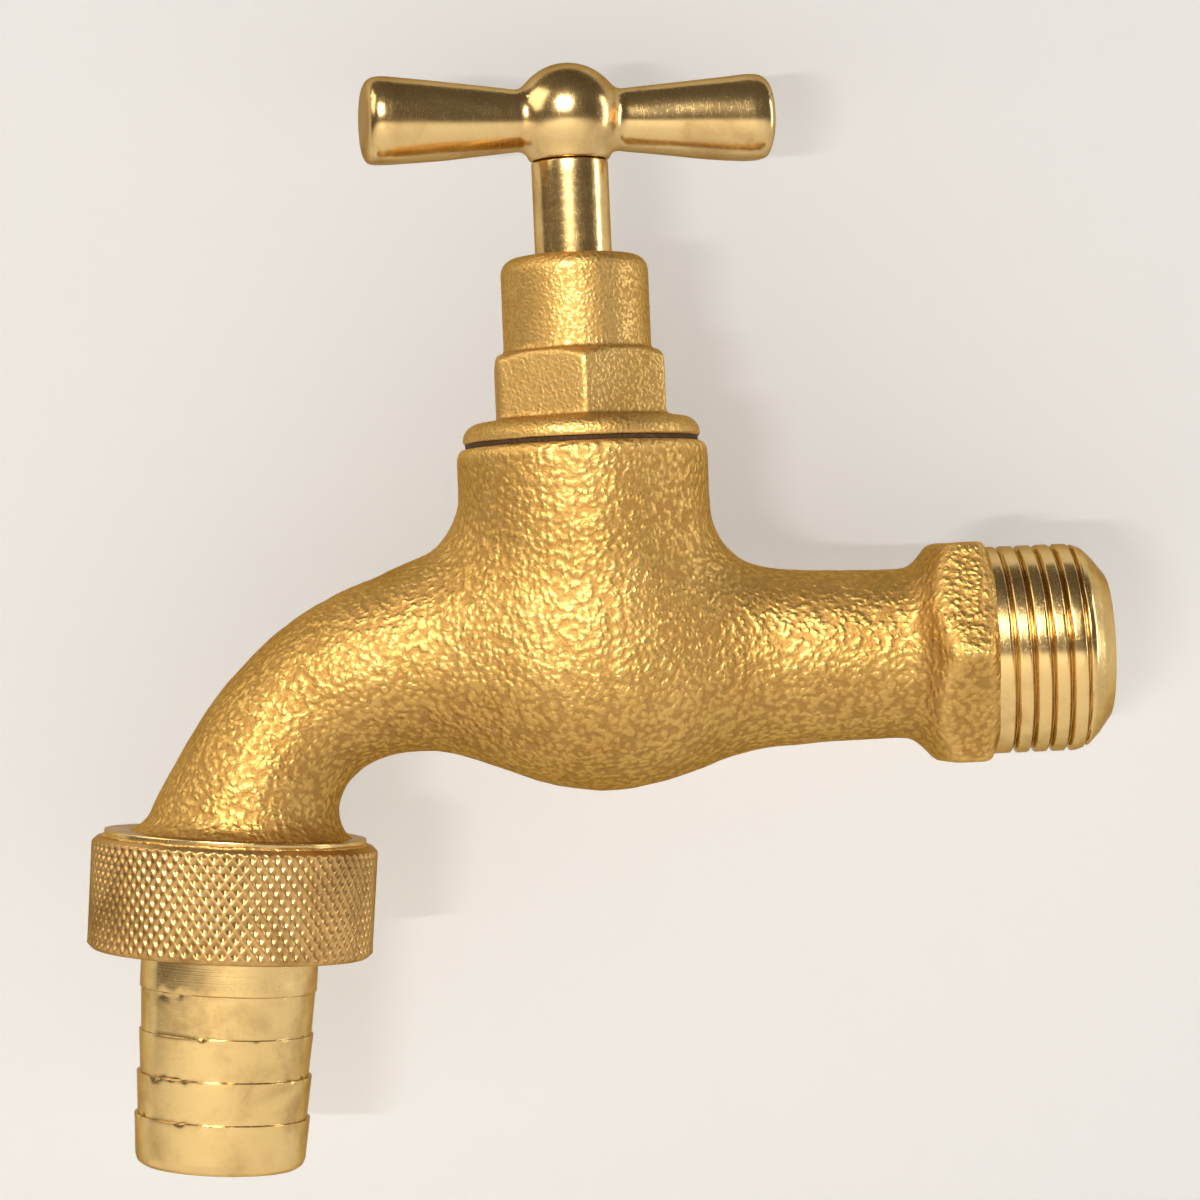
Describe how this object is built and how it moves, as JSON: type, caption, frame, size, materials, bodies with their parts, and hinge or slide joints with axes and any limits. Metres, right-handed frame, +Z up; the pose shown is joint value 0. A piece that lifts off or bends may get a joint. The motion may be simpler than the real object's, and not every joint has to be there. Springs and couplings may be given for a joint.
{
  "type": "garden tap",
  "caption": "Brass garden tap with a male pipe thread inlet, a screw-down valve under a T handle, a curved spout and a hose tail held by a knurled union nut.",
  "frame": {"origin": "inlet axis at the face of the hexagon collar, where the inlet thread starts", "axes": "+X along the inlet towards the supply pipe, +Z up along the spindle, the spout leaves along -X and turns down"},
  "size_m": [0.1042, 0.0288, 0.1106],
  "materials": {
    "cast_brass": "blasted casting",
    "bonnet_brass": "fine blasted",
    "turned_brass": "turned",
    "polished_brass": "tumbled bright",
    "tail_brass": "bright turned, scratched",
    "knurled_brass": "diamond knurl",
    "rubber": "matt moulded",
    "fibre": "pressed fibre"
  },
  "bodies": {
    "tap_body": {"body": "cast_brass", "bonnet": "bonnet_brass", "bonnet_gasket": "fibre"},
    "valve": {"jumper": "turned_brass", "valve_washer": "rubber", "washer_nut": "turned_brass"},
    "handle_spindle": {"spindle": "turned_brass", "spindle_o_ring_lower": "rubber", "spindle_o_ring_upper": "rubber", "t_handle": "polished_brass"},
    "tail": {"hose_tail": "tail_brass", "tail_washer": "rubber"},
    "nut": {"union_nut": "knurled_brass"}
  },
  "joints": [
    {"name": "valve_lift", "type": "slide", "parent": "tap_body", "child": "valve", "axis": [0, 0, 1], "range_m": [0, 0.00451]},
    {"name": "handle_turn", "type": "hinge", "parent": "valve", "child": "handle_spindle", "pos_m": [-0.03975, 0, 0.03], "axis": [0, 0, 1], "range_deg": [0, 810]},
    {"name": "tail_drop", "type": "slide", "parent": "tap_body", "child": "tail", "axis": [-0.0898, 0, -0.996], "range_m": [0, 0.00545]},
    {"name": "union_nut_turn", "type": "hinge", "parent": "tail", "child": "nut", "pos_m": [-0.075, 0, 0], "axis": [-0.0898, 0, -0.996], "range_deg": [0, 1080]}
  ],
  "couplings": [
    {"joint": "valve_lift", "follows": "handle_turn", "m_per_rad": 0.00031831},
    {"joint": "tail_drop", "follows": "union_nut_turn", "m_per_rad": 0.00028871}
  ]
}
